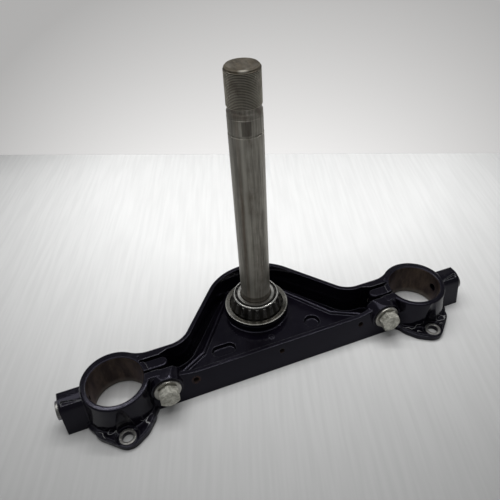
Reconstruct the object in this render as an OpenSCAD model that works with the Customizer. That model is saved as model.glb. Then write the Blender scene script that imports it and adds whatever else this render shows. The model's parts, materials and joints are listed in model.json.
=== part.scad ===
// Motorcycle triple clamp: lower fork bracket with steering stem, bearing and pinch bolts.
// Millimetres, +Z up. Origin on the stem axis at the flat underside; -Y is the front.

/* [Fork clamps] */
// distance between the two fork tube centres
fork_spacing = 254; // [244:1:270]
// distance of the fork centres in front of the stem axis
fork_offset = 44.7; // [43:0.1:47]
// bore of each fork clamp
fork_bore = 41.3; // [38:0.1:42]
// wall of a clamp ring at its top
clamp_wall = 4.4; // [4:0.1:6]
// extra wall of a clamp ring at its foot, from the forging draft
clamp_draft = 2.2; // [1:0.1:3]
// height of the clamps and of the rear wall
clamp_height = 29.5; // [28:0.5:32]
// width of the slit that lets each clamp close
slit_width = 2.2; // [1.5:0.1:3]

/* [Casting] */
// thickness of the rear wall
rear_wall = 3.4; // [3:0.1:4.5]
// height of the front wall
front_height = 21.8; // [19:0.1:24]
// lean of the front face, in degrees
front_lean = 14; // [8:0.5:16]
// thickness of the floor of the two deep pockets
floor_thick = 4; // [3:0.1:5]
// height of the web in the middle of the casting
web_height = 8; // [7:0.1:9]
// width of the raised ridges on the web
ridge_width = 4.5; // [3.5:0.1:5]
// height of the ridges above the web
ridge_rise = 1.8; // [1:0.1:2.2]
// radius of the round back of the casting behind the stem
hump_radius = 45.4; // [44:0.1:47]
// radius of the boss under the bearing
boss_radius = 26; // [24:0.1:27]
// height of the boss under the bearing
boss_height = 13.4; // [12:0.1:15]

/* [Lugs and end bosses] */
// thickness of the two front lugs
lug_thick = 5.2; // [4:0.1:7]
// hole through each lug
lug_hole = 8.2; // [6:0.1:9]
// how far each lug hole lies in front of its fork centre
lug_reach = 31.4; // [30.8:0.1:33]
// distance from the fork centre to the end face of each end boss
end_reach = 41.5; // [38:0.1:46]
// tapped hole through each end boss
end_hole = 6.8; // [5:0.1:9]
// small tapped holes in the front wall
front_hole = 4.2; // [3:0.1:5]
// distance from the middle hole of the front wall to each outer one
front_hole_step = 70.3; // [60:0.1:72]

/* [Stem and bearing] */
// diameter of the stem at its bearing seats
stem_diameter = 25; // [24.6:0.1:25.4]
// height of the top of the stem above the underside
stem_top = 222.8; // [205:0.1:260]
// length of the thread at the top of the stem
thread_length = 26; // [18:0.5:30]
// number of rollers in the bearing
roller_count = 20; // [18:1:20]
// gap between the roller set and the inner race
running_gap = 0.05; // [0.03:0.01:0.08]
// outer radius of the dust shield
shield_radius = 27.1; // [26.6:0.1:28]

/* [Pinch bolts] */
// bolt diameter
bolt_diameter = 9.5; // [8:0.1:10]
// width of the bolt head across its flats
bolt_flats = 14.3; // [13:0.1:16]
// outer diameter of the washers
washer_diameter = 20.6; // [18:0.1:21]
// thickness of the washers
washer_thick = 1.6; // [1.2:0.1:2.4]
// distance from the fork centre in to the bolt
bolt_inset = 34.3; // [33.5:0.1:36]

/* [Hidden] */
eps = 0.01;
over = 1;
big = 400;
fine = 96;
small = 32;
stem_r = stem_diameter / 2;
press_r = stem_r + 0.3;
bore_r = fork_bore / 2;
ring_top = bore_r + clamp_wall;
ring_foot = ring_top + clamp_draft;
cx = fork_spacing / 2;
cy = -fork_offset;
top = clamp_height;
edge = 1.1;
bore_chamfer = 0.8;
flare = 2.4;
flare_r = 4.4;
flare_high = 8;

// outline of the casting seen from above
hump_y = -9;
lean_deg = 52;
waist_y = cy + 17.4;
waist_round = 20.2;
ring_blend = 23;
rear_ring = ring_top + 0.1;
rear_y = cy + 1.3;
cross = 0.06;
front_y = cy - 15.5;
wall_in_y = cy - 6.5;
wall_deep = wall_in_y - front_y + 4;

// front wall and ears
ramp_in = 63;
ramp_out = 29;
ramp_x = cx - ramp_in;
ramp_end = cx - ramp_out;
ramp_rise = top - front_height;
ramp_lead = 2;
ramp_dip = 0.04;
ramp_r = (pow(ramp_end - ramp_x, 2) + pow(ramp_rise, 2)) / (2 * ramp_rise);
slit_y = cy - 0.9;
slit_front = slit_y - slit_width / 2;
slit_back = slit_y + slit_width / 2;
ear_in = 51;
ear_out = 39;
ear_x = cx - ear_in;
ear_end = cx - ear_out;
ear_step = slit_front - wall_in_y;
ear_r = (pow(ear_end - ear_x, 2) + pow(ear_step, 2)) / (2 * ear_step);
block_r = 4.45;
block_in = 35.6;
block_x = cx - block_in;
block_y = slit_back + block_r;
block_top = top - 0.7;
groove_r = 1;
groove_y = block_y + block_r + groove_r + 0.15;
groove_near = 20.8;
groove_far = 46;
groove_floor = 10;
slit_far = 41.5;
fill_y = groove_y + groove_r - 0.25;
fill_bend = cx - 34;
fill_end = cx - 47;
fill_back = cy + 15.7;

// pinch bolts
bolt_x = cx - bolt_inset;
bolt_z = 17.1;
bolt_r = bolt_diameter / 2;
bolt_gap_r = bolt_r + 0.35;
seat_y = cy - 13.4;
pad_r = washer_diameter / 2 + 1.9;
pad_flare = 2.4;
pad_drop = 0.15;
seat_r = washer_diameter / 2 + 0.9;
seat_clear = 14;
head_high = 7.4;
head_chamfer = 1.1;
collar_high = 0.5;
bolt_tip_y = block_y + block_r - 0.4;

// web, ridges and pockets
ridge_r = ridge_width / 2;
ridge_z = web_height + ridge_rise - ridge_r;
ridge_turn = 48.5;
p0 = [16.2, 29.6];
pq = [57.4, -28.5];
p3 = [cx - ridge_turn, -40.3];
end_dir = -62;
p5 = [p3[0] + (wall_in_y - 1.5 - p3[1]) / tan(end_dir), wall_in_y - 1.5];
ridge_path = [p0, pq, p3, p5];
ridge_foot = ridge_r - 0.15;
ridge_past = 0.7;
boss_round = 1.2;
boss_foot = 1.6;
dish_deep = 3.1;
dish_slope = 1.2;
dish_x = 38.3;
dish_y = -31.4;
dish_r = 6.8;
long_x = 40.8;
long_half = 4.5;
long_r = 5.6;
dot_r = 2.3;
dot_y = -34;
dot_high = 0.5;
front_hole_z = 15.3;
recess_deep = 2.5;
recess_r = 4;
recess_x = 34;
recess_front = -42;
recess_back = -14;
recess_tip = 57;

// lugs
lug_x = cx + 1.1;
lug_y = cy - lug_reach;
lug_pad_r = 6.2;
lug_pad_z = lug_thick - 0.7;
lug_cut_foot = 8.7;
lug_cut_top = 6.6;
lug_well_r = 8.6;
lug_well_z = lug_thick - 1.6;
lug_well_high = 2.6;
lug_well_back = 2;
lug_round = 1.2;
lug_tip = [cx, cy - 28.8, 10.7];
lug_mid = [cx - 4.9, cy - 22.9, 13.1];
lug_in = [cx - 9.5, cy - 17.3, 13];
lug_out = [cx + 9, cy - 15.3, 14.6];

// end bosses
end_x = cx + end_reach;
end_z = 17.3;
end_pad_r = 7;
end_pad_high = 2.5;
end_front = [cy + 0.5, 20.5, 8];
end_rear = [cy + 5.3, 26.9, 1.6];
end_foot_rear = [cy + 5.3, -3, 1.4];
end_foot_front = [cy - 9.7, -3, 1.5];
end_start = bore_r + 1;
ledge_z = 26.4;
ledge_side = 2.2;
ledge_end = cy - 1.6;
ledge_ring = cy - 5.2;

// stem, from the underside up
seat_top = boss_height + 17;
shaft_r = stem_r - 0.3;
upper_r = stem_r - 0.4;
thread_z = stem_top - thread_length;
relief_z = thread_z - 1.6;
band_z = relief_z - 4.1;
land_z = band_z - 11.1;
land_gap = 1.4;
land_cut = 0.5;
thread_core = stem_r - 1.1;
relief_r = stem_r - 1.3;

// bearing
shield_thick = 1;
shield_seat = boss_height + shield_thick;
shield_in_r = stem_r + 9.9;
shield_rise = 3.2;
shield_flange_in = shield_in_r + 0.8;
cone_base = shield_seat;
cone_high = 14.7;
cone_top = cone_base + cone_high;
rib_r = stem_r + 5.9;
rib_high = 2.6;
race_low = stem_r + 4.2;
race_angle = 11;
race_z0 = cone_base + rib_high;
race_len = 9.6;
race_high = race_low - race_len * tan(race_angle);
lip_r = race_high + 1.35;
roller_taper = 2.2;
roller_angle = race_angle + roller_taper;
roller_big = PI * (race_low + 3) / roller_count * 0.915;
roller_len = 9.2;
roller_small = roller_big - roller_len * tan(roller_taper);
roller_up = 0.75;
roller_z = race_z0 + roller_up;
roller_axis_r = race_low + running_gap / cos(race_angle) - roller_up * tan(race_angle)
    + roller_big * (cos(roller_angle) + sin(roller_angle) * tan(race_angle));
cage_in = 1.3;
cage_out = 2.2;
cage_z0 = roller_z - 1.5;
cage_z1 = cone_top + 0.2;
cage_gap = 0.06;
cage_lip = 1.7;

// draws its children on both sides
module both() {
    children();
    mirror([1, 0, 0]) children();
}

// outward normal of the common tangent on the right of the way from circle a to circle b
function tangent_angle(a, b) = atan2(b[1] - a[1], b[0] - a[0])
    - acos((a[2] - b[2]) / norm([b[0] - a[0], b[1] - a[1]]));
function on_circle(c, angle, less = 0) = [c[0] + (c[2] - less) * cos(angle), c[1] + (c[2] - less) * sin(angle)];
function tangent_points(list, less = 0) = [for (i = [0 : len(list) - 1]) each [
    on_circle(list[i], tangent_angle(list[(i + len(list) - 1) % len(list)], list[i]), less),
    on_circle(list[i], tangent_angle(list[i], list[(i + 1) % len(list)]), less)]];

// belt round a list of circles [x, y, r], given counter-clockwise
module belt(list, less = 0) {
    polygon(tangent_points(list, less));
    for (c = list) {
        translate([c[0], c[1]]) circle(r = c[2] - less, $fn = fine);
    }
}

// plate with a belt outline and a rounded upper edge
module rounded_plate(list, high, round) {
    count = len(list);
    linear_extrude(high - round) belt(list);
    linear_extrude(high) belt(list, round);
    for (c = list) {
        translate([c[0], c[1], high - round]) rotate_extrude($fn = fine)
            translate([c[2] - round, 0]) circle(r = round, $fn = small);
    }
    for (i = [0 : count - 1]) {
        a = tangent_points(list, round)[2 * i + 1];
        b = tangent_points(list, round)[(2 * i + 2) % (2 * count)];
        translate([a[0], a[1], high - round]) rotate([0, 90, atan2(b[1] - a[1], b[0] - a[0])])
            cylinder(r = round, h = norm(b - a), $fn = small);
    }
}

// outline of the whole casting, moved inward by t
module outline(t) {
    r = hump_radius - t;
    a = [r * sin(lean_deg), hump_y + r * cos(lean_deg)];
    wy = waist_y - t;
    b = [a[0] + (a[1] - wy) / tan(lean_deg), wy];
    wr = waist_round + t;
    run = wr * tan(lean_deg / 2);
    t_a = [b[0] + run, wy];
    t_b = [b[0] - run * cos(lean_deg), wy + run * sin(lean_deg)];
    br = ring_blend + t;
    ro = rear_ring - t;
    cf = [cx - sqrt(pow(ro + br - cross, 2) - pow(wy + br - rear_y, 2)), wy + br];
    translate([0, hump_y]) circle(r = r, $fn = fine);
    polygon([[-cx, front_y], [cx, front_y], [cx, wy], b, a, [-a[0], a[1]], [-b[0], wy], [-cx, wy]]);
    both() {
        difference() {
            polygon([b, t_a, t_b]);
            translate([t_a[0], wy + wr]) circle(r = wr + cross, $fn = fine);
        }
        difference() {
            polygon([[cf[0], rear_y], [cx, rear_y], cf]);
            translate(cf) circle(r = br, $fn = fine);
        }
        translate([cx, rear_y]) circle(r = ro, $fn = fine);
    }
}

// what is cut away above the front wall, between the two ears, seen from the front
module above_front() {
    translate([-ramp_x, front_height]) square([2 * ramp_x, top]);
    both() intersection() {
        translate([ramp_x - ramp_lead, front_height + ramp_r - ramp_dip]) circle(r = ramp_r, $fn = fine);
        translate([ramp_x - 2 * ramp_lead, front_height - over]) square([ramp_end - ramp_x + 2 * ramp_lead, top]);
    }
}

// space in front of the leaning face
module front_space() {
    translate([0, front_y, 0]) rotate([-front_lean, 0, 0])
        translate([-big / 2, -big, -big / 2]) cube([big, big, big]);
}

module front_wall() {
    difference() {
        linear_extrude(top) {
            translate([-cx, front_y - over]) square([2 * cx, wall_in_y - front_y + over]);
            both() difference() {
                polygon([[ear_x, wall_in_y - over], [cx, wall_in_y - over], [cx, slit_front],
                    [ear_end, slit_front], [ear_x, wall_in_y]]);
                translate([ear_x - ramp_lead, wall_in_y + ear_r - ramp_dip]) circle(r = ear_r, $fn = fine);
            }
        }
        translate([0, slit_back, 0]) rotate([90, 0, 0]) linear_extrude(wall_deep * 2) above_front();
        front_space();
    }
}

module rear_wall_solid() {
    linear_extrude(top) {
        difference() {
            outline(0);
            outline(rear_wall);
            translate([-big / 2, front_y - over]) square([big, cy - front_y + over]);
        }
        // thicker wall behind each groove
        both() polygon([[fill_end, fill_back], [fill_bend, fill_y], [cx - bore_r, fill_y], [cx - bore_r, fill_back]]);
    }
}

// direction from point i of the ridge to the next
function ridge_dir(i) = atan2(ridge_path[i + 1][1] - ridge_path[i][1], ridge_path[i + 1][0] - ridge_path[i][0]);

// straight side walls below one ridge, seen from above
module ridge_plan() {
    for (i = [0 : len(ridge_path) - 2]) {
        translate(ridge_path[i]) rotate([0, 0, ridge_dir(i)]) translate([0, -ridge_foot])
            square([norm(ridge_path[i + 1] - ridge_path[i]), 2 * ridge_foot]);
    }
    for (q = ridge_path) {
        translate(q) circle(r = ridge_foot + cross, $fn = small);
    }
}

// round bead along the top of one ridge, each stretch running a little past the bend
module ridge() {
    for (i = [0 : len(ridge_path) - 2]) {
        translate([ridge_path[i][0], ridge_path[i][1], ridge_z]) rotate([0, 90, ridge_dir(i)])
            translate([0, 0, -ridge_past])
                cylinder(r = ridge_r, h = norm(ridge_path[i + 1] - ridge_path[i]) + 2 * ridge_past, $fn = small);
    }
}

module web() {
    back = [for (i = [len(ridge_path) - 1 : -1 : 0]) ridge_path[i]];
    linear_extrude(web_height) {
        polygon(concat(back, [[0, hump_y + hump_radius - 0.3]], [for (q = ridge_path) [-q[0], q[1]]]));
        both() ridge_plan();
    }
    both() ridge();
}

module boss() {
    rotate_extrude($fn = fine) {
        square([boss_radius - boss_round, boss_height]);
        square([boss_radius, boss_height - boss_round]);
        translate([boss_radius - boss_round, boss_height - boss_round]) circle(r = boss_round, $fn = small);
        difference() {
            square([boss_radius + boss_foot, web_height + boss_foot]);
            translate([boss_radius + boss_foot, web_height + boss_foot]) circle(r = boss_foot, $fn = small);
        }
    }
}

module ring() {
    translate([cx, cy, 0]) rotate_extrude($fn = fine) {
        polygon([[bore_r - over, 0], [ring_foot, 0], [ring_top, top - edge], [ring_top - edge, top - edge],
            [ring_top - edge, top], [bore_r - over, top]]);
        translate([ring_top - edge, top - edge]) circle(r = edge, $fn = small);
        difference() {
            translate([bore_r + over, 0]) square([ring_foot + flare - bore_r - over, flare_high]);
            translate([ring_foot + flare + 0.6, flare_high]) circle(r = flare_r, $fn = small * 2);
        }
    }
}

module ear_block() {
    rounded_plate([[block_x, block_y, block_r], [cx - bore_r, block_y, block_r]],
        block_top, 1);
}

// pad that the washer sits on, and the rounded front of the ear
module bolt_pad() {
    difference() {
        translate([bolt_x, slit_front - over, bolt_z]) rotate([90, 0, 0])
            cylinder(r1 = pad_r + pad_flare, r2 = pad_r, h = slit_front - over - seat_y, $fn = fine);
        translate([0, -big / 2, top - pad_drop]) cube([big, big, big]);
    }
}

module lug() {
    shape = [lug_tip, lug_out, lug_in, lug_mid];
    linear_extrude(lug_thick - lug_round) belt(shape);
    linear_extrude(lug_thick) belt(shape, lug_round);
}

module end_boss() {
    difference() {
        translate([cx + end_start, 0, 0]) rotate([90, 0, 90])
            linear_extrude(end_x - cx - end_start) difference() {
                belt([end_foot_front, end_foot_rear, end_rear, end_front]);
                translate([cy - ring_foot, -big]) square([2 * ring_foot, big]);
            }
        translate([0, 0, ledge_z]) linear_extrude(top)
            polygon([[end_x - ledge_side, ledge_end], [cx + end_start - over, ledge_ring],
                [cx + end_start - over, ledge_ring - ring_top], [end_x - ledge_side, ledge_ring - ring_top]]);
    }
    translate([end_x - over, cy, end_z]) rotate([0, 90, 0]) cylinder(r = end_pad_r, h = end_pad_high + over, $fn = fine);
}

module hollows() {
    // fork bore with its two chamfers
    translate([cx, cy, 0]) rotate_extrude($fn = fine)
        polygon([[0, -over], [bore_r + bore_chamfer + over, -over], [bore_r, bore_chamfer],
            [bore_r, top - bore_chamfer], [bore_r + bore_chamfer + over, top + over], [0, top + over]]);
    // slit
    translate([cx - slit_far, slit_front, -over]) cube([slit_far, slit_width, top + 2 * over]);
    // groove between the ear block and the rear wall
    translate([0, 0, groove_floor]) linear_extrude(top) {
        translate([cx - groove_near, groove_y]) circle(r = groove_r, $fn = small);
        translate([cx - groove_far, groove_y - groove_r]) square([groove_far - groove_near, 2 * groove_r]);
    }
    // bolt: clear hole in the front ear, tapped hole in the block
    translate([bolt_x, slit_y, bolt_z]) rotate([90, 0, 0]) cylinder(r = bolt_gap_r, h = wall_deep * 2, $fn = small);
    translate([bolt_x, groove_y, bolt_z]) rotate([90, 0, 0]) cylinder(r = bolt_r, h = groove_y - slit_y, $fn = small);
    // flat for the washer cut into the foot of the ring
    translate([bolt_x, seat_y, bolt_z]) rotate([90, 0, 0]) cylinder(r = seat_r, h = seat_clear, $fn = fine);
    // lug: hole, well round its pad, clearance for a tool above it
    translate([lug_x, lug_y, -over]) cylinder(d = lug_hole, h = top, $fn = small * 2);
    translate([lug_x, lug_y, lug_pad_z]) cylinder(r1 = lug_cut_foot, r2 = lug_cut_top, h = top - lug_pad_z, $fn = fine);
    translate([lug_x, lug_y, 0]) difference() {
        translate([0, 0, lug_well_z]) cylinder(r = lug_well_r, h = lug_well_high, $fn = fine);
        cylinder(r = lug_pad_r, h = top, $fn = fine);
        translate([-lug_well_r, lug_pad_r - lug_well_back, 0]) cube([2 * lug_well_r, lug_well_r, top]);
    }
    // end boss: tapped hole into the bore
    translate([cx, cy, end_z]) rotate([0, 90, 0]) cylinder(d = end_hole, h = end_reach + end_pad_high + over, $fn = small * 2);
}

// underside recesses, between the boss and the arms
module recesses() {
    both() translate([0, 0, -over]) linear_extrude(recess_deep + over)
        belt([[recess_x, recess_front, recess_r], [cx - recess_tip, recess_front - 2, recess_r - 1],
            [recess_x, recess_back, recess_r]]);
}

// round dish on the right and long dish on the left of the web
module dishes() {
    z = web_height - dish_deep;
    translate([dish_x, dish_y, z]) cylinder(r1 = dish_r - dish_slope, r2 = dish_r, h = dish_deep + eps, $fn = fine);
    for (x = [-long_x - long_half, long_half - long_x]) {
        translate([x, dish_y, z]) cylinder(r1 = long_r - dish_slope, r2 = long_r, h = dish_deep + eps, $fn = fine);
    }
    translate([-long_x, dish_y, z]) rotate([90, 0, 90]) translate([0, 0, -long_half]) linear_extrude(2 * long_half)
        polygon([[dish_slope - long_r, 0], [long_r - dish_slope, 0], [long_r, dish_deep + eps],
            [-long_r, dish_deep + eps]]);
}

module bracket() {
    color([0.03, 0.03, 0.035]) difference() {
        union() {
            difference() {
                union() {
                    linear_extrude(floor_thick) outline(0);
                    web();
                }
                front_space();
            }
            front_wall();
            rear_wall_solid();
            boss();
            both() {
                ring();
                ear_block();
                bolt_pad();
                lug();
                end_boss();
            }
            translate([0, dot_y, web_height - over]) cylinder(r = dot_r, h = dot_high + over, $fn = small);
        }
        both() hollows();
        // stem bore
        translate([0, 0, -over]) cylinder(r = press_r, h = boss_height + 2 * over, $fn = fine);
        // small tapped holes in the front wall
        for (x = [-front_hole_step, 0, front_hole_step]) {
            translate([x, wall_in_y + over, front_hole_z]) rotate([90, 0, 0])
                cylinder(d = front_hole, h = wall_deep + over, $fn = small);
        }
        dishes();
        recesses();
    }
}

module stem() {
    color([0.5, 0.5, 0.48]) rotate_extrude($fn = fine)
        polygon([[0, 0], [press_r - 1, 0], [press_r, 1], [press_r, boss_height], [stem_r, boss_height],
            [stem_r, seat_top - 0.4], [shaft_r, seat_top], [shaft_r, land_z - land_gap - 0.3],
            [upper_r - land_cut, land_z - land_gap], [upper_r - land_cut, land_z], [upper_r, land_z],
            [upper_r, band_z - 0.5], [upper_r - 0.35, band_z - 0.15], [upper_r - 0.35, band_z + 0.15],
            [upper_r - 0.1, band_z + 0.4], [upper_r - 0.1, relief_z - 1.2], [relief_r, relief_z],
            [relief_r, thread_z - 0.3], [thread_core, thread_z], [thread_core, stem_top - 1],
            [thread_core - 1, stem_top], [0, stem_top]]);
}

module dust_shield() {
    z1 = boss_height;
    z2 = boss_height + shield_rise;
    color([0.6, 0.6, 0.6]) rotate_extrude($fn = fine) {
        polygon([[stem_r, z1], [shield_in_r + shield_thick, z1], [shield_flange_in + shield_thick, z2],
            [shield_radius - 0.5, z2], [shield_radius - 0.5, z2 + shield_thick], [shield_flange_in, z2 + shield_thick],
            [shield_in_r, z1 + shield_thick], [stem_r, z1 + shield_thick]]);
        translate([shield_radius - 0.5, z2 + 0.5]) circle(r = 0.5, $fn = small);
    }
}

module bearing_cone() {
    color([0.62, 0.62, 0.62]) rotate_extrude($fn = fine)
        polygon([[stem_r, cone_base], [rib_r - 0.6, cone_base], [rib_r, cone_base + 0.6],
            [rib_r, race_z0], [race_low, race_z0], [race_high, race_z0 + race_len],
            [lip_r, race_z0 + race_len], [lip_r, cone_top - 0.6], [lip_r - 0.6, cone_top],
            [stem_r + 0.9, cone_top], [stem_r, cone_top - 0.9]]);
}

// puts its children on the axis of roller number k
module at_roller(k) {
    rotate([0, 0, 360 * k / roller_count]) translate([roller_axis_r, 0, roller_z])
        rotate([0, -roller_angle, 0]) children();
}

module roller(k) {
    color([0.55, 0.55, 0.55]) at_roller(k) {
        translate([0, 0, 0.35]) cylinder(r1 = roller_big, r2 = roller_small, h = roller_len - 0.7, $fn = small);
        cylinder(r1 = roller_big - 0.35, r2 = roller_big - 0.02, h = 0.36, $fn = small);
        translate([0, 0, roller_len - 0.36]) cylinder(r1 = roller_small - 0.02, r2 = roller_small - 0.35, h = 0.36, $fn = small);
    }
}

// cage wall at height z, off the roller axis by o
function cage_r(z, o) = roller_axis_r - (z - roller_z) * tan(roller_angle) + o / cos(roller_angle);

module bearing_cage() {
    z_in = cage_z1 - 1;
    color([0.35, 0.35, 0.34]) difference() {
        rotate_extrude($fn = fine)
            polygon([[cage_r(cage_z0, cage_in), cage_z0], [cage_r(cage_z0, cage_out), cage_z0],
                [cage_r(cage_z1 - 0.6, cage_out), cage_z1 - 0.6], [cage_r(cage_z1 - 0.6, cage_out) - 0.6, cage_z1],
                [lip_r + cage_lip, cage_z1], [lip_r + cage_lip, z_in], [cage_r(z_in, cage_in), z_in]]);
        for (k = [0 : roller_count - 1]) {
            at_roller(k) translate([0, 0, -cage_gap])
                cylinder(r1 = roller_big + cage_gap, r2 = roller_small + cage_gap, h = roller_len + 2 * cage_gap, $fn = small);
        }
    }
}

module hex_head() {
    intersection() {
        cylinder(d = bolt_flats / cos(30), h = head_high, $fn = 6);
        union() {
            cylinder(d = bolt_flats * 1.2, h = head_high - head_chamfer, $fn = small * 2);
            translate([0, 0, head_high - head_chamfer - eps])
                cylinder(r1 = bolt_flats * 0.6, r2 = bolt_flats * 0.6 - 1.9, h = head_chamfer + eps, $fn = small * 2);
        }
    }
}

module pinch_bolt(turn) {
    translate([bolt_x, seat_y - washer_thick, bolt_z]) rotate([90, turn, 0]) {
        translate([0, 0, collar_high]) hex_head();
        cylinder(d = bolt_flats - 0.7, h = collar_high + eps, $fn = small * 2);
    }
    translate([bolt_x, seat_y - washer_thick - eps, bolt_z]) rotate([-90, 0, 0])
        cylinder(r = bolt_r, h = bolt_tip_y - seat_y + washer_thick, $fn = small);
}

module pinch_bolts() {
    color([0.65, 0.65, 0.6]) {
        pinch_bolt(12);
        mirror([1, 0, 0]) pinch_bolt(28);
    }
}

module pinch_washers() {
    color([0.7, 0.7, 0.68]) both() translate([bolt_x, seat_y, bolt_z]) rotate([90, 0, 0])
        rotate_extrude($fn = fine) {
            translate([bolt_gap_r, 0]) square([washer_diameter / 2 - 0.4 - bolt_gap_r, washer_thick]);
            translate([bolt_gap_r, 0]) square([washer_diameter / 2 - bolt_gap_r, washer_thick - 0.4]);
            translate([washer_diameter / 2 - 0.4, washer_thick - 0.4]) circle(r = 0.4, $fn = small);
        }
}

bracket();
stem();
dust_shield();
bearing_cone();
bearing_cage();
for (k = [0 : roller_count - 1]) {
    roller(k);
}
pinch_bolts();
pinch_washers();
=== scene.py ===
"""Looks of a motorcycle triple clamp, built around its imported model. Metres, +Z up, front towards -Y."""
import json
import math
import bpy
from mathutils import Matrix, Vector


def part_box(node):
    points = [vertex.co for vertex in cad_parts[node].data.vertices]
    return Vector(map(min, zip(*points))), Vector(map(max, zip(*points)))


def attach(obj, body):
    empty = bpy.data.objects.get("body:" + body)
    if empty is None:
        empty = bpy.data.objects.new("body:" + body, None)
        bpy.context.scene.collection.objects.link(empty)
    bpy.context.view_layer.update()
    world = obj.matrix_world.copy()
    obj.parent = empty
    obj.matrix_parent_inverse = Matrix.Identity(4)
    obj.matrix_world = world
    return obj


MM = 0.001
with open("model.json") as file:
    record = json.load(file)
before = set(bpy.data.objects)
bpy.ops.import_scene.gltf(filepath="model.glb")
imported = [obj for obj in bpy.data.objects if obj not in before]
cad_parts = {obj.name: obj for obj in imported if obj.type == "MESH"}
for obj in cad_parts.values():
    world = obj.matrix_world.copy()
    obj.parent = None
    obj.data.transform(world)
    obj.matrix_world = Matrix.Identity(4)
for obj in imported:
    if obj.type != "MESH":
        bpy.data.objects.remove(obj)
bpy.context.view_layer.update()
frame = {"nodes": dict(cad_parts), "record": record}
mounts = {mount["name"]: mount for mount in frame["record"]["mounts"]}


def mount_place(name):
    """A mount's x, y and z in millimetres."""
    return [value / MM for value in mounts[name]["pos_m"]]


def highest(node, axis):
    """How far a node reaches along +X, +Y or +Z (axis 0, 1 or 2), in millimetres."""
    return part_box(node)[1][axis] / MM


# places on the part, in millimetres, read from the frame
BORE = mount_place("fork_clamp_right")[:2]
BORE_R = mounts["fork_clamp_right"]["dims"]["r_mm"]
LUG = (mounts["lug_holes"]["dims"]["spacing_x_mm"] / 2, mount_place("lug_holes")[1])
HOLE_STEP = mounts["front_holes_outer"]["dims"]["spacing_x_mm"] / 2
HOLE_R = mounts["front_holes_outer"]["dims"]["hole_r_mm"]
HOLE_Z = mount_place("front_holes_outer")[2]
SEAT_HALF = mounts["stem_upper_seat"]["dims"]["length_mm"] / 2
SEAT_FROM = mount_place("stem_upper_seat")[2] - SEAT_HALF
SEAT_TO = mount_place("stem_upper_seat")[2] + SEAT_HALF
STEM_TOP = highest("stem", 2)
CONE_TOP = highest("bearing_cone", 2)
SHIELD_R = highest("dust_shield", 0)
WASHER_BACK = highest("pinch_washers", 1)
END_X = highest("bracket", 0)

# sizes and places of small features, in millimetres
RING_WALL = 5.4
BOSS_EDGE_R = 28.75
REAR_WALL_FROM_Y = -16.0
PAD_R = 6.25
PAD_Z = (4.1, 4.85)
END_RING_RISE = 2.35
LEDGE_FROM_X, LEDGE_BACK_Y, LEDGE_Z = 148.0, -39.0, 25.0
EAR_FROM_X, EAR_TO_X, EAR_STEP_Y, EAR_Z = 85.5, 104.5, -44.25, 27.0
FRONT_FACE_Y = -49.25
CHIP_PLACE = (61.0, -45.6, 22.0)
CONE_FACE_R = 15.6
ROLLER_AXIS_R = 19.49
ROLLER_MIDDLE_Z = 17.75
ROLLER_LEAN = math.radians(13.2)
CORE_R = 11.4
THREAD_R = 12.0
THREAD_FROM = 196.9
THREAD_TO = 221.9
THREAD_PITCH = 0.977

# directions round the stem, seen from above
VIEWER_ANGLE = math.radians(-106.0)
STREAK_ANGLE = math.radians(-138.0)

# the photograph's camera, solved from the picture
EYE = Vector((-0.0967514, -0.2881909, 0.3290786))
YAW, PITCH_DOWN, ROLL = 0.3158, 0.6942, -0.0664
IMAGE_SIZE = 500
FOCAL_PIXELS = 499.1435
SENSOR_MM = 36.0

# where the wall meets the floor at the picture's left and right edge, as pixel rows
FOOT_ROW_LEFT, FOOT_ROW_RIGHT = 155, 153

# painted light fall-off of floor and wall: exponent terms 1, u, v, u*u, u*v, v*v, with u and v in metres
FLOOR_SHADE = (-0.232, 1.079, 2.708, -5.033, 0.579, -5.409)
WALL_SHADE = (-0.649, 2.765, -2.495, -3.839, 0.983, -3.708)


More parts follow.
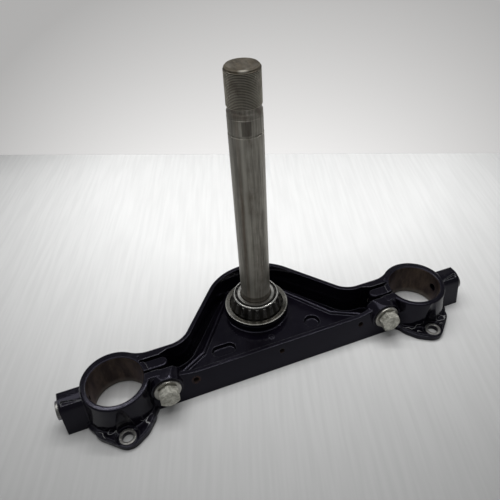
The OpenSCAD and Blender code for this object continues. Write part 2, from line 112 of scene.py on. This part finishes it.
class Graph:
    """A material's node tree, written as formulas."""

    def __init__(self, name):
        self.material = bpy.data.materials.new(name)
        self.material.use_nodes = True
        self.tree = self.material.node_tree
        self.tree.nodes.clear()
        self.out = self.add("ShaderNodeOutputMaterial")
        self.bsdf = self.add("ShaderNodeBsdfPrincipled")
        self.put(self.bsdf.outputs["BSDF"], self.out.inputs["Surface"])
        self.place = self.add("ShaderNodeTexCoord").outputs["Object"]
        split = self.add("ShaderNodeSeparateXYZ")
        self.put(self.place, split.inputs[0])
        self.x, self.y, self.z = (self.times(split.outputs[i], 1 / MM) for i in range(3))
        self.side = self.size(self.x)

    def add(self, kind):
        return self.tree.nodes.new(kind)

    def put(self, value, socket):
        """Links a socket, or sets a number or colour."""
        if isinstance(value, bpy.types.NodeSocket):
            self.tree.links.new(value, socket)
        elif isinstance(value, (tuple, list)) and len(value) == 3 and socket.type == "RGBA":
            socket.default_value = (*value, 1.0)
        else:
            socket.default_value = value

    def math(self, op, a, b=0.0):
        node = self.add("ShaderNodeMath")
        node.operation = op
        self.put(a, node.inputs[0])
        self.put(b, node.inputs[1])
        return node.outputs[0]

    def plus(self, a, b):
        return self.math("ADD", a, b)

    def minus(self, a, b):
        return self.math("SUBTRACT", a, b)

    def times(self, a, b):
        return self.math("MULTIPLY", a, b)

    def size(self, a):
        return self.math("ABSOLUTE", a)

    def mix(self, fac, a, b):
        """Colour a where fac is 0 and b where it is 1."""
        node = self.add("ShaderNodeMix")
        node.data_type = "RGBA"
        self.put(fac, node.inputs["Factor"])
        self.put(a, node.inputs[6])
        self.put(b, node.inputs[7])
        return node.outputs[2]

    def blend(self, fac, a, b):
        """Number a where fac is 0 and b where it is 1."""
        return self.plus(self.times(fac, self.minus(b, a)), a)

    def step(self, value, low, high):
        """0 below low, 1 above high, smooth between; falling when low is above high."""
        node = self.add("ShaderNodeMapRange")
        node.interpolation_type = "SMOOTHSTEP"
        up = low < high
        self.put(value, node.inputs["Value"])
        node.inputs["From Min"].default_value = min(low, high)
        node.inputs["From Max"].default_value = max(low, high)
        node.inputs["To Min"].default_value = 0.0 if up else 1.0
        node.inputs["To Max"].default_value = 1.0 if up else 0.0
        return node.outputs["Result"]

    def over(self, value, edge, soft):
        """1 above edge and 0 below it, smooth over soft on both sides."""
        return self.step(value, edge - soft, edge + soft)

    def under(self, value, edge, soft):
        """1 below edge and 0 above it, smooth over soft on both sides."""
        return self.step(value, edge + soft, edge - soft)

    def both(self, *masks):
        """Product of masks and strengths."""
        total = masks[0]
        for mask in masks[1:]:
            total = self.times(total, mask)
        return total

    def either(self, *masks):
        """The largest of several masks."""
        total = masks[0]
        for mask in masks[1:]:
            total = self.math("MAXIMUM", total, mask)
        return total

    def distance(self, u, v, from_u=0.0, from_v=0.0):
        """Distance of the point (u, v) from another point of the same plane."""
        du, dv = self.minus(u, from_u), self.minus(v, from_v)
        return self.math("SQRT", self.plus(self.times(du, du), self.times(dv, dv)))

    def noise(self, per_mm, detail=3.0, rough=0.55, stretch=(1, 1, 1), shift=0.0):
        """Noise of per_mm waves in a millimetre, drawn out along an axis where stretch is under 1."""
        mapping = self.add("ShaderNodeMapping")
        mapping.inputs["Scale"].default_value = stretch
        mapping.inputs["Location"].default_value = (shift, shift * 0.7, shift * 1.3)
        self.put(self.place, mapping.inputs["Vector"])
        node = self.add("ShaderNodeTexNoise")
        node.inputs["Scale"].default_value = per_mm / MM
        node.inputs["Detail"].default_value = detail
        node.inputs["Roughness"].default_value = rough
        self.put(mapping.outputs[0], node.inputs["Vector"])
        return node.outputs["Fac"]

    def pits(self, per_mm):
        """Distance to the nearest of scattered points, for pitting."""
        node = self.add("ShaderNodeTexVoronoi")
        node.inputs["Scale"].default_value = per_mm / MM
        self.put(self.place, node.inputs["Vector"])
        return node.outputs["Distance"]

    def bevel(self, radius):
        """Normals that round the edges by radius."""
        node = self.add("ShaderNodeBevel")
        node.samples = 6
        node.inputs["Radius"].default_value = radius * MM
        return node.outputs["Normal"]

    def edges(self, rounded, low, high):
        """1 on the edges that a bevel rounds, 0 on flat faces."""
        node = self.add("ShaderNodeVectorMath")
        node.operation = "DOT_PRODUCT"
        self.put(rounded, node.inputs[0])
        self.put(self.normal(), node.inputs[1])
        return self.step(node.outputs["Value"], high, low)

    def bump(self, height, strength, depth, normal=None):
        node = self.add("ShaderNodeBump")
        node.inputs["Strength"].default_value = strength
        node.inputs["Distance"].default_value = depth * MM
        self.put(height, node.inputs["Height"])
        if normal is not None:
            self.put(normal, node.inputs["Normal"])
        return node.outputs["Normal"]

    def normal(self):
        return self.add("ShaderNodeNewGeometry").outputs["Normal"]

    def upward(self, vector):
        """The z of a vector: 1 where it points straight up."""
        node = self.add("ShaderNodeSeparateXYZ")
        self.put(vector, node.inputs[0])
        return node.outputs[2]

    def camera_ray(self):
        return self.add("ShaderNodeLightPath").outputs["Is Camera Ray"]

    def finish(self, color, metallic, roughness, normal):
        self.put(color, self.bsdf.inputs["Base Color"])
        self.put(metallic, self.bsdf.inputs["Metallic"])
        self.put(roughness, self.bsdf.inputs["Roughness"])
        self.put(normal, self.bsdf.inputs["Normal"])
        return self.material


def painted_highlight_edges(g, rounded, bore_d):
    """Where the painted highlight lies on the upper edges, and its strength: less on the ring rims, the boss
    and the rear wall.
    """
    top_edges = g.both(g.edges(rounded, 0.80, 0.985), g.step(g.upward(rounded), 0.25, 0.7))
    quiet = g.either(
        g.under(bore_d, BORE_R + RING_WALL, 0.5),
        g.under(g.distance(g.x, g.y), BOSS_EDGE_R, 0.75),
        g.over(g.y, REAR_WALL_FROM_Y, 4.0))
    return top_edges, g.blend(quiet, 1.0, 0.12)


def painted_glint_places(g):
    """The ledge on each end block and the step behind each ear, where bright painted highlight lines are laid
    on the edges.
    """
    ledge = g.both(g.over(g.side, LEDGE_FROM_X, 0.5), g.under(g.y, LEDGE_BACK_Y, 3.0),
                   g.over(g.z, LEDGE_Z, 0.5))
    ear = g.both(g.over(g.side, EAR_FROM_X, 1.5), g.under(g.side, EAR_TO_X, 1.5),
                 g.over(g.y, EAR_STEP_Y, 0.75), g.over(g.z, EAR_Z, 0.5))
    return g.either(ledge, g.times(ear, 0.6))


def painted_gleams(g, bore_d):
    """Painted highlights: thin bright squiggles on the paint round the foot of the rings, in place of light
    caught by its lumps.
    """
    swirl = g.step(g.size(g.minus(g.noise(0.11, 1.0, 0.4, shift=2.6), 0.5)), 0.015, 0.006)
    ring_r = BORE_R + RING_WALL
    foot = g.both(g.over(bore_d, ring_r + 0.6, 0.25), g.under(bore_d, ring_r + 5.95, 1.0))
    front = g.both(g.under(g.y, BORE[1] - BORE_R - 0.15, 1.5), g.under(g.side, BORE[0] + 24.0, 4.0))
    low = g.both(g.over(g.z, PAD_Z[1] - 0.3, 0.35), g.under(g.z, PAD_Z[1] + 3.9, 0.75))
    return g.both(swirl, foot, front, low)


def black_paint(g, rounded, bore_d, speck):
    """Thick bluish black gloss paint: its colour and roughness, with dust, and painted highlights on edges
    and round the ring feet.
    """
    cloud = g.noise(0.035, 4.0)
    color = g.mix(g.step(cloud, 0.35, 0.7), (0.0026, 0.0021, 0.0042), (0.0042, 0.0034, 0.0064))
    dust_cloud = g.noise(0.06, 5.0, 0.62, shift=7.0)
    dust = g.both(g.step(dust_cloud, 0.5, 0.78), g.step(g.upward(g.normal()), 0.5, 0.95))
    color = g.mix(g.times(dust, 0.07), color, (0.060, 0.056, 0.050))
    top_edges, strength = painted_highlight_edges(g, rounded, bore_d)
    painted_sheen = g.both(top_edges, g.blend(g.step(speck, 0.35, 0.6), 0.25, 1.0))
    # painted highlight: a lighter grey on the upper edges, dimmer on ring rims, boss and rear wall
    color = g.mix(g.both(painted_sheen, strength), color, (0.055, 0.056, 0.062))
    # painted highlight: bright lines on the ledges and the steps behind the ears
    color = g.mix(g.both(painted_sheen, painted_glint_places(g)), color, (0.30, 0.30, 0.31))
    # painted highlight: thin bright squiggles round the ring feet
    color = g.mix(painted_gleams(g, bore_d), color, (0.30, 0.30, 0.30))
    rough = g.blend(dust, g.blend(g.step(cloud, 0.3, 0.75), 0.11, 0.18), 0.24)
    return color, rough


def rusty_bore(g):
    """Bare fork bores, rusty in clouds and paler at their foot."""
    cloud = g.noise(0.09, 5.0, 0.65, (1, 1, 0.35), 1.7)
    color = g.mix(g.step(cloud, 0.35, 0.68), (0.030, 0.020, 0.015), (0.100, 0.072, 0.052))
    return g.mix(g.times(g.under(g.z, 4.25, 2.75), 0.55), color, (0.22, 0.20, 0.17))


def front_hole_marks(g, speck):
    """The inside of the three small front holes, and the rust round the left one."""
    across = [g.distance(g.x, g.z, x, HOLE_Z) for x in (-HOLE_STEP, 0.0, HOLE_STEP)]
    inside = g.either(*[g.under(d, HOLE_R + 0.085, 0.065) for d in across])
    inside = g.both(inside, g.under(g.y, FRONT_FACE_Y, 1.25), g.under(g.side, HOLE_STEP + 8.7, 1.0))
    left = g.distance(g.x, g.z, -HOLE_STEP, HOLE_Z)
    rust = g.both(g.under(left, HOLE_R + 1.25, 1.05), g.under(g.y, FRONT_FACE_Y + 1.75, 2.5),
                  g.step(speck, 0.35, 0.6))
    return inside, rust


def casting():
    """Gloss black paint over a cast surface, with bare and rusty bores, faced pads and worn edges."""
    g = Graph("black_paint_casting")
    rounded = g.bevel(1.3)
    grain = g.noise(1.6, 4.0, 0.65)
    speck = g.noise(0.55, 5.0, 0.7, shift=3.1)
    bore_d = g.distance(g.side, g.y, *BORE)
    lug_d = g.distance(g.side, g.y, *LUG)
    paint, paint_rough = black_paint(g, rounded, bore_d, speck)

    bore = g.under(bore_d, BORE_R + 0.235, 0.115)
    chamfer = g.under(bore_d, BORE_R + 1.1, 0.2)
    pad = g.both(g.under(lug_d, PAD_R + 0.05, 0.1), g.over(g.z, PAD_Z[0] + 0.05, 0.15),
                 g.under(g.z, PAD_Z[1] - 0.05, 0.1))
    faced = g.either(pad, g.over(g.side, END_X - END_RING_RISE, 0.05))
    chip = g.both(g.edges(rounded, 0.55, 0.98), g.step(speck, 0.62, 0.68))
    from_chip = g.distance(g.distance(g.x, g.y, *CHIP_PLACE[:2]), g.z, 0.0, CHIP_PLACE[2])
    beige_chip = g.under(from_chip, 1.2, 0.3)
    inside_holes, rust = front_hole_marks(g, speck)
    steel = g.mix(g.step(grain, 0.35, 0.7), (0.15, 0.145, 0.14), (0.36, 0.355, 0.335))

    color = g.mix(bore, paint, rusty_bore(g))
    color = g.mix(faced, color, steel)
    color = g.mix(g.times(chip, 0.75), color, (0.26, 0.25, 0.23))
    color = g.mix(g.times(rust, 0.8), color, (0.060, 0.028, 0.012))
    color = g.mix(inside_holes, color, (0.022, 0.014, 0.010))
    color = g.mix(g.times(beige_chip, 0.8), color, (0.20, 0.17, 0.13))
    metal = g.either(g.times(bore, 0.55), faced, g.times(chip, 0.8))
    rough = g.blend(bore, g.blend(chamfer, paint_rough, 0.45), 0.52)
    rough = g.blend(faced, rough, 0.38)
    rough = g.blend(g.either(rust, inside_holes), rough, 0.8)

    near_lug = g.both(g.under(lug_d, 17.0, 5.0), g.under(g.z, 6.75, 1.25))
    normal = g.bump(g.noise(0.28, 2.0), 0.25, 0.12, rounded)
    normal = g.bump(g.times(g.noise(0.16, 2.0, shift=5.0), near_lug), 0.7, 0.8, normal)
    normal = g.bump(g.times(grain, g.either(bore, 0.12)), 0.35, 0.12, normal)
    g.bsdf.inputs["IOR"].default_value = 1.30
    g.bsdf.inputs["Specular Tint"].default_value = (0.80, 0.78, 1.0, 1.0)
    return g.finish(color, metal, rough, normal)


def turned_steel(name, dark, light, rough, streak, stain, edge=0.2, grease=0.0):
    """Turned steel with fine marks round its axis, stains and an oily film.

    streak is the share of long marks in its colour, stain and grease are strengths, edge is the
    edge radius in mm. Gives the graph, colour, metal, roughness and normal, to be worked on."""
    g = Graph(name)
    rounded = g.bevel(edge)
    marks = g.noise(0.7, 3.0, 0.6, (1.0, 1.0, 0.05), 2.0)
    cloud = g.noise(0.08, 5.0, 0.6, shift=4.0)
    tone = g.plus(g.times(marks, streak), g.times(cloud, 1.0 - streak))
    color = g.mix(g.step(tone, 0.3, 0.72), dark, light)
    brown = g.both(g.step(g.noise(0.11, 5.0, 0.7, (1, 1, 0.25), 9.0), 0.5, 0.72), stain)
    color = g.mix(brown, color, (0.085, 0.055, 0.035))
    film = g.both(g.step(g.noise(0.15, 4.0, 0.6, shift=12.0), 0.35, 0.65), grease)
    color = g.mix(film, color, (0.018, 0.015, 0.011))
    roughness = g.blend(brown, g.blend(g.step(cloud, 0.3, 0.7), rough - 0.05, rough + 0.07), 0.62)
    metal = g.blend(film, g.blend(brown, 1.0, 0.4), 0.3)
    rings = g.noise(3.2, 2.0, 0.5, (0.03, 0.03, 1.0))
    return g, color, metal, roughness, g.bump(rings, 0.12, 0.03, rounded)


def shaft_stain_and_painted_light(g, color, angle):
    """Along the bare shaft: a brown streak, a painted highlight streak beside it, and a left side darkened as
    painted shade.
    """
    below_thread = g.under(g.z, SEAT_TO - 0.1, 5.5)
    off = g.minus(angle, STREAK_ANGLE)
    beside = g.both(g.over(off, 0.16, 0.06), g.under(off, 0.41, 0.11), below_thread)
    # painted highlight: a bright streak beside the brown one
    color = g.mix(g.times(beside, 0.55), color, (0.50, 0.48, 0.42))
    # painted shade: the left side darkened
    color = g.mix(g.times(g.under(g.x, -9.5, 1.5), 0.45), color, (0.09, 0.085, 0.075))
    wave = g.step(g.noise(0.05, 4.0, 0.6, (1, 1, 0.12), 6.0), 0.25, 0.6)
    streak = g.both(g.under(g.size(off), 0.095, 0.065), wave, below_thread, 0.75)
    return g.mix(streak, color, (0.125, 0.082, 0.052))


def seat_marks(g, color, off_viewer):
    """A dark patch on the upper seat, brown stains above it and a dark foot over the bearing."""
    seat = g.both(g.over(g.z, SEAT_FROM + 0.3, 0.3), g.under(g.z, SEAT_TO - 0.25, 0.25))
    patch = g.both(g.under(off_viewer, 0.27, 0.03), seat)
    color = g.mix(g.times(patch, 0.6), color, (0.055, 0.045, 0.036))
    stains = g.both(g.over(g.z, SEAT_TO + 1.0, 1.0), g.step(g.noise(0.12, 4.0, shift=3.0), 0.35, 0.6))
    color = g.mix(g.times(stains, 0.5), color, (0.080, 0.058, 0.040))
    return g.mix(g.times(g.under(g.z, CONE_TOP + 4.65, 0.75), 0.72), color, (0.05, 0.038, 0.028))


def end_marks_and_painted_glint(g, color, off_viewer, end):
    """Brown scratched end face, darker chamfer, and a painted highlight glint on the chamfer towards the
    viewer.
    """
    face = g.over(g.z, STEM_TOP - 0.175, 0.075)
    spots = g.step(g.noise(0.16, 5.0, 0.7, shift=11.0), 0.42, 0.62)
    scratches = g.step(g.noise(0.5, 4.0, 0.7, (1, 0.15, 1), 5.0), 0.42, 0.62)
    face_color = g.mix(scratches, (0.030, 0.024, 0.016), (0.062, 0.050, 0.034))
    color = g.mix(g.times(face, g.blend(spots, 0.80, 0.97)), color, face_color)
    color = g.mix(g.both(end, g.under(face, 0.95, 0.05), 0.75), color, (0.085, 0.070, 0.048))
    # painted highlight: a glint on the chamfer towards the viewer
    glint = g.both(end, g.under(g.z, STEM_TOP - 0.25, 0.15), g.under(off_viewer, 0.215, 0.165))
    return g.mix(glint, color, (0.46, 0.43, 0.37))


def stem_material():
    """Bare steel, browner in one long streak, with stains below the thread and on the end, a painted
    highlight streak, a left side darkened as painted shade and a painted glint on the end's chamfer.
    """
    g, color, metal, rough, normal = turned_steel(
        "stem_bare_steel", (0.190, 0.178, 0.153), (0.450, 0.425, 0.370), rough=0.40, streak=0.65,
        stain=0.5, edge=0.35)
    g.bsdf.inputs["IOR"].default_value = 1.25
    angle = g.math("ARCTAN2", g.y, g.x)
    off_viewer = g.size(g.minus(angle, VIEWER_ANGLE))
    end = g.over(g.z, STEM_TOP - 1.9, 0.3)
    color = shaft_stain_and_painted_light(g, color, angle)
    color = seat_marks(g, color, off_viewer)
    color = end_marks_and_painted_glint(g, color, off_viewer, end)
    return g.finish(color, g.times(metal, g.blend(end, 0.42, 0.15)), g.blend(end, rough, 0.6), normal)


def thread_material():
    """Steel thread, darkened as painted shade in its grooves and in its first turn, and brighter on its
    crests as painted highlight.
    """
    g = Graph("thread_steel")
    crest = g.step(g.distance(g.x, g.y), CORE_R + 0.2, THREAD_R)
    cloud = g.noise(0.12, 5.0, 0.6, shift=8.0)
    # painted shade in the grooves and painted highlight on the crests
    color = g.mix(crest, (0.024, 0.020, 0.016), (0.46, 0.43, 0.36))
    # painted shade: the first turn darkened
    color = g.mix(g.over(g.z, THREAD_TO - 1.55, 0.65), color, (0.050, 0.042, 0.030))
    color = g.mix(g.times(g.step(cloud, 0.45, 0.7), 0.6), color, (0.075, 0.052, 0.036))
    return g.finish(color, 0.9, g.blend(crest, 0.6, 0.38), g.bump(g.noise(2.0), 0.2, 0.05))


def shield_material():
    """Pressed steel, stained inside its dish, darkened as painted shade at the front of the dish, and with a
    painted highlight on its rim, dimmer at the front.
    """
    g, color, metal, rough, normal = turned_steel(
        "shield_steel", (0.22, 0.215, 0.195), (0.34, 0.335, 0.305), rough=0.28, streak=0.2,
        stain=0.2, grease=0.1)
    radius = g.distance(g.x, g.y)
    stain = g.step(g.noise(0.35, 5.0, 0.7, shift=6.0), 0.38, 0.62)
    dish = g.under(radius, SHIELD_R - 1.1, 0.3)
    color = g.mix(g.both(dish, stain, 0.7), color, (0.09, 0.078, 0.062))
    # painted shade: the front of the dish darkened
    color = g.mix(g.both(g.under(g.y, -9.5, 5.5), dish, 0.8), color, (0.030, 0.027, 0.022))
    # painted highlight: the rim brighter, dimmer at the front
    painted_rim_highlight = g.mix(g.under(g.y, -8.0, 6.0), (0.44, 0.435, 0.41), (0.20, 0.195, 0.18))
    color = g.mix(g.over(radius, SHIELD_R - 0.55, 0.15), color, painted_rim_highlight)
    return g.finish(color, metal, g.blend(dish, rough, g.blend(stain, 0.16, 0.34)), normal)


def cone_material():
    """Bright ground face, painted dark below it where the rollers run, as shade between the parts."""
    g, color, metal, rough, normal = turned_steel(
        "race_steel", (0.48, 0.47, 0.44), (0.66, 0.65, 0.61), rough=0.20, streak=0.2,
        stain=0.15, grease=0.1)
    beyond = g.over(g.distance(g.x, g.y), CONE_FACE_R - 0.2, 0.2)
    painted_shade = g.either(g.under(g.z, CONE_TOP - 0.375, 0.225), beyond)
    # painted shade: dark below the ground face where the rollers run
    color = g.mix(painted_shade, color, (0.020, 0.018, 0.015))
    return g.finish(color, g.blend(painted_shade, metal, 0.0), g.blend(painted_shade, rough, 0.6), normal)


def cage_material():
    """Dark oily bars under a rim painted bright as a highlight."""
    g, color, metal, rough, normal = turned_steel(
        "cage_steel", (0.050, 0.047, 0.041), (0.130, 0.123, 0.110), rough=0.30, streak=0.2,
        stain=0.3, edge=0.3, grease=0.5)
    rim = g.over(g.z, CONE_TOP - 0.6, 0.3)
    # painted highlight: the top rim painted bright
    color = g.mix(rim, color, (0.74, 0.73, 0.69))
    return g.finish(color, g.either(metal, rim), g.blend(rim, rough, 0.22), normal)


def roller_material():
    """Oily steel, darkened as painted shade on the side that faces the cone."""
    g, color, metal, rough, normal = turned_steel(
        "roller_steel", (0.16, 0.153, 0.140), (0.34, 0.33, 0.31), rough=0.20, streak=0.3,
        stain=0.2, grease=0.4)
    lean_in = g.times(g.minus(g.z, ROLLER_MIDDLE_Z), math.tan(ROLLER_LEAN))
    off_axis = g.minus(g.distance(g.x, g.y), g.minus(ROLLER_AXIS_R, lean_in))
    painted_shade = g.under(off_axis, 1.25, 0.25)
    # painted shade: dark on the side that faces the cone
    color = g.mix(painted_shade, color, (0.015, 0.013, 0.011))
    return g.finish(color, g.blend(painted_shade, metal, 0.0), g.blend(painted_shade, rough, 0.6), normal)


def bolt_material():
    """Dull zinc plate, pitted and stained on the face and flats of the bolt heads."""
    g = Graph("dull_zinc_bolt")
    rounded = g.bevel(0.35)
    fine = g.noise(1.8, 5.0, 0.7, shift=2.0)
    pit = g.step(g.pits(0.9), 0.28, 0.05)
    color = g.mix(g.step(g.noise(0.35, 5.0, 0.65), 0.32, 0.68), (0.27, 0.265, 0.225), (0.62, 0.61, 0.545))
    color = g.mix(g.both(pit, g.step(fine, 0.4, 0.6), 0.8), color, (0.055, 0.050, 0.040))
    color = g.mix(g.times(g.edges(rounded, 0.6, 0.97), 0.35), color, (0.62, 0.61, 0.56))
    shank = g.over(g.y, WASHER_BACK - 0.6, 0.6)
    color = g.mix(shank, color, (0.12, 0.11, 0.10))
    normal = g.bump(fine, 0.35, 0.10, rounded)
    normal = g.bump(g.minus(1.0, pit), 0.6, 0.25, normal)
    return g.finish(color, 0.75, g.blend(g.step(fine, 0.3, 0.7), 0.40, 0.60), normal)


def washer_material():
    """Plain steel washers, a little stained."""
    g, color, metal, rough, normal = turned_steel(
        "washer_steel", (0.30, 0.29, 0.26), (0.60, 0.59, 0.54), rough=0.30, streak=0.2,
        stain=0.45, edge=0.3, grease=0.15)
    return g.finish(color, metal, rough, normal)


def mesh_object(name, corners, faces):
    """A mesh object in the scene, with its corners in metres."""
    mesh = bpy.data.meshes.new(name)
    mesh.from_pydata(corners, [], faces)
    mesh.update()
    obj = bpy.data.objects.new(name, mesh)
    bpy.context.scene.collection.objects.link(obj)
    return obj


def helix():
    """The thread's ridge: one closed strip wound round the plain core of the CAD stem."""
    per_turn = 96
    fade_turns = 0.35
    sunk = 0.12
    half_root, half_crest = 0.48, 0.08
    chamfer = 0.95
    count = int(((THREAD_TO - THREAD_FROM) / THREAD_PITCH - 1.0) * per_turn)
    root = CORE_R - sunk
    corners, faces = [], []
    for i in range(count + 1):
        turn = i / per_turn
        fade = min(1.0, turn / fade_turns, (count - i) / per_turn / fade_turns)
        z = THREAD_FROM + THREAD_PITCH * (0.5 + turn)
        full = min(THREAD_R, CORE_R + STEM_TOP - chamfer - z)
        crest = root + (full - root) * max(fade, 0.02)
        angle = 2.0 * math.pi * turn
        for r, dz in ((root, -half_root), (crest, -half_crest), (crest, half_crest), (root, half_root)):
            corners.append((r * math.cos(angle) * MM, r * math.sin(angle) * MM, (z + dz * THREAD_PITCH) * MM))
        if i:
            first = 4 * (i - 1)
            for k in range(4):
                n = (k + 1) % 4
                faces.append((first + k, first + 4 + k, first + 4 + n, first + n))
    last = 4 * count
    faces.append((0, 1, 2, 3))
    faces.append((last + 3, last + 2, last + 1, last))
    return mesh_object("stem_thread", corners, faces)


def dress(names, material):
    """Gives CAD nodes their one material."""
    for name in names:
        node = frame["nodes"][name]
        node.data.materials.clear()
        node.data.materials.append(material)


dress(["bracket"], casting())
dress(["stem"], stem_material())
dress(["dust_shield"], shield_material())
dress(["bearing_cone"], cone_material())
dress(["bearing_cage"], cage_material())
dress(["roller_%02d" % (k + 1) for k in range(20)], roller_material())
dress(["pinch_bolts"], bolt_material())
dress(["pinch_washers"], washer_material())

thread = helix()
thread.data.materials.append(thread_material())
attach(thread, "clamp")

# the camera's axes
ahead = Vector((
    math.sin(YAW) * math.cos(PITCH_DOWN), math.cos(YAW) * math.cos(PITCH_DOWN), -math.sin(PITCH_DOWN)))
level = Vector((math.cos(YAW), -math.sin(YAW), 0.0))
upright = level.cross(ahead)
right = level * math.cos(ROLL) + upright * math.sin(ROLL)
up = upright * math.cos(ROLL) - level * math.sin(ROLL)


def photo_camera():
    """The camera at the photograph's place and angle."""
    data = bpy.data.cameras.new("camera")
    data.sensor_fit = "HORIZONTAL"
    data.sensor_width = SENSOR_MM
    data.lens = FOCAL_PIXELS / IMAGE_SIZE * SENSOR_MM
    data.clip_start = 0.01
    data.clip_end = 50.0
    camera = bpy.data.objects.new("camera", data)
    camera.matrix_world = Matrix((
        (right.x, up.x, -ahead.x, EYE.x), (right.y, up.y, -ahead.y, EYE.y),
        (right.z, up.z, -ahead.z, EYE.z), (0, 0, 0, 1)))
    bpy.context.scene.collection.objects.link(camera)
    bpy.context.scene.camera = camera


def floor_point(column, row):
    """Where the camera's ray through a pixel of the photograph meets the floor."""
    middle = IMAGE_SIZE / 2
    ray = ahead * FOCAL_PIXELS + right * (column - middle) + up * (middle - row)
    return EYE + ray * (-EYE.z / ray.z)


wall_left = floor_point(0, FOOT_ROW_LEFT)
wall_right = floor_point(IMAGE_SIZE, FOOT_ROW_RIGHT)
along = (wall_right - wall_left).normalized()


def graded(g, u, v, terms):
    """Smooth fall-off over a sheet: e to the power of a second-order sum in u and v."""
    products = (u, v, g.times(u, u), g.times(u, v), g.times(v, v))
    total = terms[0]
    for factor, product in zip(terms[1:], products):
        total = g.plus(total, g.times(product, factor))
    return g.math("POWER", math.e, total)


def grey(g, value, tint=(1.0, 1.0, 1.0)):
    """A grey of that value, with a tint."""
    node = g.add("ShaderNodeCombineColor")
    for i in range(3):
        g.put(g.times(value, tint[i]), node.inputs[i])
    return node.outputs[0]


def one_sided(g):
    """Lets a camera behind or below the sheet look through it."""
    facing = g.add("ShaderNodeNewGeometry")
    choice = g.add("ShaderNodeMixShader")
    g.put(g.both(g.camera_ray(), facing.outputs["Backfacing"]), choice.inputs[0])
    g.put(g.bsdf.outputs["BSDF"], choice.inputs[1])
    g.put(g.add("ShaderNodeBsdfTransparent").outputs["BSDF"], choice.inputs[2])
    g.put(choice.outputs[0], g.out.inputs["Surface"])
    return g.material


def brush_lines(g, u, v):
    """Faint lines on the floor that run away from the viewer."""
    per_metre, drawn_out, depth = 260.0, 0.05, 0.065
    across = g.minus(g.times(u, math.cos(YAW)), g.times(v, math.sin(YAW)))
    away = g.plus(g.times(u, math.sin(YAW)), g.times(v, math.cos(YAW)))
    place = g.add("ShaderNodeCombineXYZ")
    g.put(across, place.inputs[0])
    g.put(g.times(away, drawn_out), place.inputs[1])
    noise = g.add("ShaderNodeTexNoise")
    noise.inputs["Scale"].default_value = per_metre
    noise.inputs["Detail"].default_value = 3.0
    g.put(place.outputs[0], noise.inputs["Vector"])
    return g.blend(g.step(noise.outputs["Fac"], 0.3, 0.7), 1.0 - depth, 1.0)


def floor_paint():
    """Matt pale floor, with the light's fall-off round the part painted into its grey as in the picture, and
    plain farther out.
    """
    darkest, lightest, far_shade = 0.28, 0.95, 0.8
    g = Graph("floor_paint")
    u, v = g.times(g.x, MM), g.times(g.y, MM)
    # painted light: the floor's grey follows the light's fall-off round the part
    shade = g.math("MINIMUM", g.math("MAXIMUM", graded(g, u, v, FLOOR_SHADE), darkest), lightest)
    far = g.over(g.distance(u, v), 0.775, 0.175)
    shade = g.blend(far, g.times(shade, brush_lines(g, u, v)), far_shade)
    g.finish(grey(g, shade, (1.0, 1.0, 0.99)), 0.0, 0.6, g.bump(g.noise(0.3), 0.05, 0.05))
    return one_sided(g)


def backdrop_paint():
    """Matt pale wall; to the camera it glows with a painted light fall-off, while the part is lit by plain
    paint.
    """
    darkest, plain = 0.42, 0.7
    g = Graph("backdrop_paint")
    u = g.plus(g.times(g.minus(g.x, wall_left.x / MM), along.x * MM),
               g.times(g.minus(g.y, wall_left.y / MM), along.y * MM))
    # painted light: the wall's fall-off, shown to the camera as a glow
    shade = g.math("MAXIMUM", graded(g, u, g.times(g.z, MM), WALL_SHADE), darkest)
    seen = g.camera_ray()
    g.put(grey(g, shade, (1.01, 1.0, 0.99)), g.bsdf.inputs["Emission Color"])
    g.put(seen, g.bsdf.inputs["Emission Strength"])
    g.finish(grey(g, g.blend(seen, plain, 0.0)), 0.0, 1.0, g.bump(g.noise(0.3), 0.05, 0.05))
    return one_sided(g)


def sheet(name, corners, material):
    """A flat piece of the set, which isn't part of the object."""
    obj = mesh_object(name, corners, [(0, 1, 2, 3)])
    obj.data.materials.append(material)


def floor():
    """A wide floor, a hair below the part."""
    half, gap = 4.0, 0.0001
    corners = [(-half, -half, -gap), (half, -half, -gap), (half, half, -gap), (-half, half, -gap)]
    sheet("floor", corners, floor_paint())


def backdrop():
    """A low wall behind the part, running on past both sides of the picture."""
    past = along * 3.0
    tall = Vector((0, 0, 0.27))
    foot_a, foot_b = wall_left - past, wall_right + past
    sheet("backdrop", [foot_a, foot_b, foot_b + tall, foot_a + tall], backdrop_paint())


def area_light(name, place, target, size, power):
    """A rectangular lamp at place that shines at target."""
    light = bpy.data.lights.new(name, "AREA")
    light.shape = "RECTANGLE"
    light.size, light.size_y = size
    light.energy = power
    obj = bpy.data.objects.new(name, light)
    obj.location = place
    obj.rotation_euler = (Vector(target) - Vector(place)).to_track_quat("-Z", "Y").to_euler()
    bpy.context.scene.collection.objects.link(obj)


def studio_world(lighting, seen):
    """Dim surroundings for the lighting, pale ones for the camera."""
    world = bpy.data.worlds.new("studio")
    bpy.context.scene.world = world
    world.use_nodes = True
    nodes, links = world.node_tree.nodes, world.node_tree.links
    background = nodes["Background"]
    background.inputs["Color"].default_value = (0.96, 0.98, 1.0, 1.0)
    strength = nodes.new("ShaderNodeMapRange")
    strength.inputs["To Min"].default_value = lighting
    strength.inputs["To Max"].default_value = seen
    links.new(nodes.new("ShaderNodeLightPath").outputs["Is Camera Ray"], strength.inputs["Value"])
    links.new(strength.outputs["Result"], background.inputs["Strength"])


photo_camera()
floor()
backdrop()
area_light("ceiling", (-0.04, 0.12, 1.00), (-0.04, 0.10, 0.0), (1.1, 0.8), 6.6)
area_light("tube", (0.10, 0.235, 0.66), (0.02, 0.06, 0.0), (0.8, 0.03), 1.5)
studio_world(lighting=0.23, seen=0.75)
bpy.context.scene.view_settings.view_transform = "Standard"
